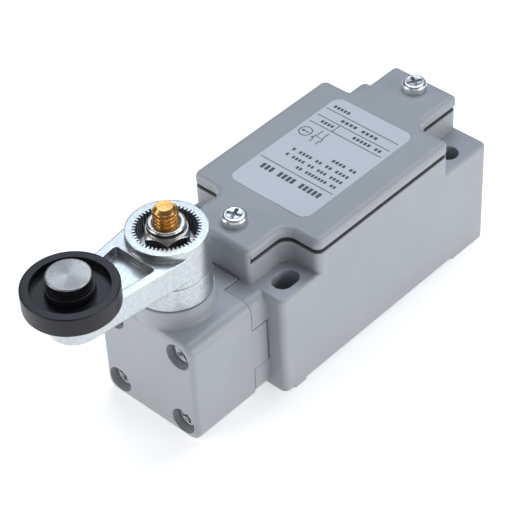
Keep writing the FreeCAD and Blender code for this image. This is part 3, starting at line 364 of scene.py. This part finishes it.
for part in ("bridge_springs", "plunger_spring", "tappet_spring"):
    dress(part, drawn_wire)
for part in ("contact_block_screws", "terminal_screws", "terminal_clamps", "earth_screw"):
    dress(part, plated_steel)


# ---- front cover and its screws ----
# Flat die-cast lid with a rounded rim, painted like the housing. Two zinc-plated pan-head screws with
# cross recesses hold it, one at each end.
dress("front_cover", satin_paint)
dress("cover_screws", plated_steel)


# ---- label ----
# Silver-grey polyester film with rounded corners, printed in dark grey. Rules part the rows, which are
# plain dashes here, and beside them stand the symbols of a pair of contacts and of positive opening.
label_film = finish("label_film", (0.570, 0.605, 0.655), (0.550, 0.585, 0.635), 0.0, (0.34, 0.44),
                    0.3, 0.001, 0.05)
label_ink = finish("label_ink", (0.060, 0.065, 0.080), (0.045, 0.050, 0.062), 0.0, (0.40, 0.52),
                   0.2, 0.001, 0.02)
dress("label_plate", label_film)
label_low, label_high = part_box("label_plate")
FILM_TOP = label_high[2] / MM
INK_T = 0.012
INK_SUNK = 0.005
LINE_W = 0.24
LINK_W = 0.18
RULE_LEFT = -11.3
RULE_RIGHT = 11.5
CODE_RULE_Y = 8.93
TABLE_RULES_Y = (-8.73, -11.83, -15.10)
CODE_H = 1.9                       # height of the large print, and of the small
SMALL_H = 1.0
MARK_SHARE = 0.66                  # of the pitch of the dashes, the rest is gap
DASH_ROWS = (                      # left, right, foot, height, and how many marks each group has
    (-9.5, 9.4, 10.4, CODE_H, (5, 4, 3)),
    (-10.3, 2.3, 6.3, SMALL_H, (2, 7, 2)),
    (-10.3, 7.6, 4.0, SMALL_H, (4, 3, 2, 4, 1)),
    (-10.2, 7.6, 1.6, SMALL_H, (4, 2, 2, 4, 1)),
    (-10.3, -2.7, -1.0, SMALL_H, (2, 4)),
    (-9.9, -0.8, -10.8, SMALL_H, (2, 5)),
    (5.2, 9.4, -10.8, SMALL_H, (4,)),
    (-6.0, 5.7, -14.0, SMALL_H, (4, 4)),
    (5.5, 10.8, -17.3, SMALL_H, (5,)),
)
ARROW_Y = -4.9
CIRCLE_X = 9.43
CIRCLE_R = 1.68
CIRCLE_W = 0.26
CIRCLE_STEPS = 36
OPEN_X = 4.27                      # line of the contact that closes, and of the one that opens
SHUT_X = 6.17


class Print:
    """Collects flat printed shapes, each a thin closed slab on the film."""

    def __init__(self):
        self.points = []
        self.faces = []

    def slab(self, outline):
        """Outline runs counter-clockwise, seen from the front."""
        start = len(self.points)
        count = len(outline)
        self.points += [(x, y, FILM_TOP - INK_SUNK) for x, y in outline]
        self.points += [(x, y, FILM_TOP + INK_T) for x, y in outline]
        self.faces.append(tuple(start + i for i in reversed(range(count))))
        self.faces.append(tuple(start + count + i for i in range(count)))
        for i in range(count):
            j = (i + 1) % count
            self.faces.append((start + i, start + j, start + count + j, start + count + i))

    def stroke(self, a, b, width=LINE_W):
        a = Vector(a)
        b = Vector(b)
        along = (b - a).normalized() * 0.5
        side = Vector((-along.y, along.x)) * width
        self.slab([(a - side)[:], (b - side)[:], (b + side)[:], (a + side)[:]])

    def circle(self, centre, radius, width):
        inner = radius - width / 2
        outer = radius + width / 2
        for i in range(CIRCLE_STEPS):
            a0 = 2 * pi * i / CIRCLE_STEPS
            a1 = 2 * pi * (i + 1) / CIRCLE_STEPS
            self.slab([
                (centre[0] + inner * cos(a0), centre[1] + inner * sin(a0)),
                (centre[0] + outer * cos(a0), centre[1] + outer * sin(a0)),
                (centre[0] + outer * cos(a1), centre[1] + outer * sin(a1)),
                (centre[0] + inner * cos(a1), centre[1] + inner * sin(a1)),
            ])

    def dashes(self, x0, x1, y, height, words):
        """Row of upright marks in groups, which together fill the length of a line of small print."""
        pitch = (x1 - x0) / (sum(words) + len(words) - 1)
        x = x0
        for marks in words:
            for _ in range(marks):
                right = x + pitch * MARK_SHARE
                self.slab([(x, y), (right, y), (right, y + height), (x, y + height)])
                x += pitch
            x += pitch


def printed_label():
    ink = Print()
    for y in (CODE_RULE_Y, *TABLE_RULES_Y):
        ink.stroke((RULE_LEFT, y), (RULE_RIGHT, y))
    ink.stroke((OPEN_X, TABLE_RULES_Y[0]), (OPEN_X, TABLE_RULES_Y[1]))
    for row in DASH_ROWS:
        ink.dashes(*row)

    ink.circle((CIRCLE_X, ARROW_Y), CIRCLE_R, CIRCLE_W)
    ink.stroke((8.2, ARROW_Y), (10.2, ARROW_Y))
    ink.slab([(10.7, ARROW_Y), (9.9, ARROW_Y + 0.5), (9.9, ARROW_Y - 0.5)])

    for x in (OPEN_X, SHUT_X):
        ink.stroke((x, -7.7), (x, -5.9))
        ink.stroke((x, -4.1), (x, -2.5))
    ink.stroke((OPEN_X, -5.9), (3.75, -3.7))
    ink.stroke((SHUT_X, -5.9), (6.75, -3.9))
    ink.stroke((SHUT_X, -4.15), (7.0, -4.15))
    ink.stroke((3.95, -5.0), (6.40, -5.0), LINK_W)
    add_piece("label_print", ink.points, ink.faces, label_ink, "root", 20.0)


printed_label()


# ---- operating head ----
# Square die-cast head, painted like the housing and held on its end face by four recessed screws.
# Sintered bushes carry the shaft, and a turned brass cup guides the tappet.
sintered_bronze = finish("sintered_bronze", (0.60, 0.42, 0.22), (0.46, 0.31, 0.15), 1.0, (0.42, 0.62),
                         0.12, 0.006, 0.1)
dress("head_housing", satin_paint)
dress("head_screws", plated_steel)
dress("upper_bush", sintered_bronze)
dress("lower_bush", sintered_bronze)
dress("tappet_guide", stamped_brass)


# ---- tappet and cam ----
# Turned tappet and a hardened cam, both bright bare steel with fine turning marks round their axes.
# The pin that holds the cam to the shaft is drawn wire, marked along its length.
WAVE_SCALE = 20.0                  # the ring pattern packs this many radians into a unit


def add_tool_marks(material, centre, axis, pitch=0.22, depth=0.0035):
    """Add concentric tool marks round an axis through a point, both in part axes."""
    nodes = material.node_tree.nodes
    wires = material.node_tree.links
    place = nodes.new("ShaderNodeTexCoord")
    shift = nodes.new("ShaderNodeMapping")
    shift.inputs["Location"].default_value = tuple(-c * MM for c in centre)
    marks = nodes.new("ShaderNodeTexWave")
    marks.wave_type = "RINGS"
    marks.rings_direction = axis
    marks.inputs["Scale"].default_value = 2 * pi / (WAVE_SCALE * pitch * MM)
    marks.inputs["Distortion"].default_value = 1.2
    marks.inputs["Detail"].default_value = 2.0
    groove = nodes.new("ShaderNodeBump")
    groove.inputs["Strength"].default_value = 1.0
    groove.inputs["Distance"].default_value = depth * MM
    wires.new(place.outputs["Object"], shift.inputs["Vector"])
    wires.new(shift.outputs["Vector"], marks.inputs["Vector"])
    wires.new(marks.outputs["Fac"], groove.inputs["Height"])
    wires.new(nodes["relief"].outputs["Normal"], groove.inputs["Normal"])
    wires.new(groove.outputs["Normal"], nodes["Principled BSDF"].inputs["Normal"])


def turned_steel(name, centre, axis):
    steel = finish(name, (0.34, 0.335, 0.33), (0.25, 0.245, 0.24), 1.0, (0.22, 0.34), 0.2, 0.001, 0.12, 4.0)
    add_tool_marks(steel, centre, axis)
    return steel


shaft_low, shaft_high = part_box("lever_shaft")
SHAFT_Y = (shaft_low[1] + shaft_high[1]) / 2 / MM
dress("tappet", turned_steel("turned_tappet_steel", (0.0, 0.0, BODY_AXIS_Z), "Y"))
dress("cam", turned_steel("ground_cam_steel", (0.0, SHAFT_Y, 0.0), "Z"))
dress("cam_pin", turned_steel("ground_pin_steel", (0.0, 0.0, BODY_AXIS_Z), "X"))


# ---- shaft ----
# One turned bar: two journals, a seat for the cam, a square for the toothed disc and an M6 stud on
# top. It is yellow passivated, so the stud with its chamfered end looks like brass.
STUD_R = 3.0
STUD_DEPTH = 0.61
STUD_PITCH = 1.0
STUD_POINT = 1.1
JOURNAL_R = 5.0
CAM_SEAT_R = 4.0
LOWER_JOURNAL_R = 3.0
SQUARE_HALF = 3.5
SQUARE_CORNER_R = 4.7
SQUARE_FOOT_Z = 35.1
SQUARE_TOP_Z = 44.8
THREAD_FOOT_Z = 46.2
LOWER_CHAMFER = 0.4
SHAFT_FACETS = 96
THREAD_ROWS = 124


def shaft_radius(kind, z, a, top):
    """Kind is "square", "thread" or the radius of a plain round length."""
    if kind == "square":
        return min(SQUARE_CORNER_R, SQUARE_HALF / max(abs(cos(a)), abs(sin(a))))
    if kind == "thread":
        core = STUD_R - STUD_DEPTH * (1.0 - thread_height(z / STUD_PITCH - a / (2 * pi)))
        point = STUD_R - max(0.0, z - (top - STUD_POINT))
        return min(core, point)
    return kind


def lever_shaft():
    low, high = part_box("lever_shaft")
    bottom = low[2] / MM
    top = high[2] / MM
    cam_low, cam_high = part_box("cam")
    cam_foot = cam_low[2] / MM
    cam_top = cam_high[2] / MM
    stations = [
        (bottom, LOWER_JOURNAL_R - LOWER_CHAMFER), (bottom + LOWER_CHAMFER, LOWER_JOURNAL_R),
        (cam_foot, LOWER_JOURNAL_R), (cam_foot, CAM_SEAT_R), (cam_top, CAM_SEAT_R),
        (cam_top, JOURNAL_R), (SQUARE_FOOT_Z, JOURNAL_R),
        (SQUARE_FOOT_Z, "square"), (SQUARE_TOP_Z, "square"),
        (SQUARE_TOP_Z, STUD_R), (THREAD_FOOT_Z, STUD_R),
    ]
    for i in range(THREAD_ROWS):
        stations.append((THREAD_FOOT_Z + (top - THREAD_FOOT_Z) * (i + 1) / THREAD_ROWS, "thread"))
    points = [(0.0, SHAFT_Y, bottom)]
    for z, kind in stations:
        for step in range(SHAFT_FACETS):
            a = 2 * pi * step / SHAFT_FACETS
            r = shaft_radius(kind, z, a, top)
            points.append((r * cos(a), SHAFT_Y + r * sin(a), z))
    points.append((0.0, SHAFT_Y, top))
    last = len(points) - 1
    faces = [(0, 1 + (step + 1) % SHAFT_FACETS, 1 + step) for step in range(SHAFT_FACETS)]
    for row in range(len(stations) - 1):
        here = 1 + row * SHAFT_FACETS
        above = here + SHAFT_FACETS
        for step in range(SHAFT_FACETS):
            nxt = (step + 1) % SHAFT_FACETS
            faces.append((here + step, here + nxt, above + nxt, above + step))
    rim = 1 + (len(stations) - 1) * SHAFT_FACETS
    faces += [(rim + step, rim + (step + 1) % SHAFT_FACETS, last) for step in range(SHAFT_FACETS)]
    shaft = add_piece("lever_shaft_turned", points, faces, yellow_zinc, "lever",
                      28.0)
    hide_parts("lever_shaft")


yellow_zinc = finish("yellow_passivated_zinc", (0.80, 0.50, 0.17), (0.60, 0.32, 0.09), 1.0, (0.16, 0.32),
                     0.15, 0.002, 0.04, 2.0)
add_tool_marks(yellow_zinc, (0.0, SHAFT_Y, 0.0), "Z", 0.18, 0.002)
lever_shaft()


# ---- toothed disc and lever arm ----
# Both are zinc die castings, tumbled and clear passivated: bright and mottled, with edges rubbed smooth.
# The teeth of the disc sit in those of the arm's hub, which sets the lever to any of its steps.
# Their rounded edges are paled by a painted highlight.
zinc_casting = finish("tumbled_zinc_casting", (0.62, 0.65, 0.66), (0.47, 0.51, 0.52), 1.0, (0.20, 0.40),
                      0.30, 0.014, 0.35, 0.9, 0.25)
rough_casting = finish("rough_zinc_casting", (0.66, 0.68, 0.68), (0.46, 0.49, 0.49), 1.0, (0.22, 0.50),
                       0.30, 0.022, 0.4, 0.8, 0.2)
dress("lever_arm", zinc_casting)
dress("drive_disc", rough_casting)


# ---- washer and lock nut ----
# Plated washer and an M6 lock nut of bright rolled steel, whose collar is rolled over a nylon ring.
bright_nut = finish("bright_nut_steel", (0.66, 0.64, 0.62), (0.42, 0.40, 0.39), 1.0, (0.16, 0.32),
                    0.2, 0.002, 0.3, 2.5)
nut_nylon = finish("nut_nylon", (0.30, 0.31, 0.33), (0.22, 0.23, 0.25), 0.0, (0.35, 0.50), 0.3, 0.002, 0.1)
washer_steel = finish("washer_steel", (0.70, 0.71, 0.72), (0.55, 0.56, 0.58), 1.0, (0.25, 0.40),
                      0.2, 0.002, 0.12, 3.0)
add_tool_marks(washer_steel, (0.0, SHAFT_Y, 0.0), "Z")
dress("hub_washer", washer_steel)
dress("lock_nut", bright_nut)
dress("nut_insert", nut_nylon)


# ---- roller and its pin ----
# Glass-filled nylon roller, black, with a dished face, a raised hub and faint turning marks.
# It runs on a turned steel pin with a wide flat head that is riveted into the arm.
roller_low, roller_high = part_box("roller")
ROLLER_Y = (roller_low[1] + roller_high[1]) / 2 / MM
black_nylon = finish("black_roller_nylon", (0.009, 0.009, 0.013), (0.006, 0.006, 0.008), 0.0, (0.30, 0.46),
                     0.3, 0.003, 0.25, 4.0, 0.12)
add_tool_marks(black_nylon, (0.0, ROLLER_Y, 0.0), "Z", 0.5, 0.002)
black_nylon.node_tree.nodes["Principled BSDF"].inputs["Specular IOR Level"].default_value = 0.38
dress("roller", black_nylon)
pin_steel = turned_steel("roller_pin_steel", (0.0, ROLLER_Y, 0.0), "Z")
pin_shader = pin_steel.node_tree.nodes["Principled BSDF"]
pin_shader.inputs["Anisotropic"].default_value = 0.7
pin_grain = pin_steel.node_tree.nodes.new("ShaderNodeTangent")
pin_grain.direction_type = "RADIAL"
pin_grain.axis = "Z"
pin_steel.node_tree.links.new(pin_grain.outputs["Tangent"], pin_shader.inputs["Tangent"])
dress("roller_pin", pin_steel)
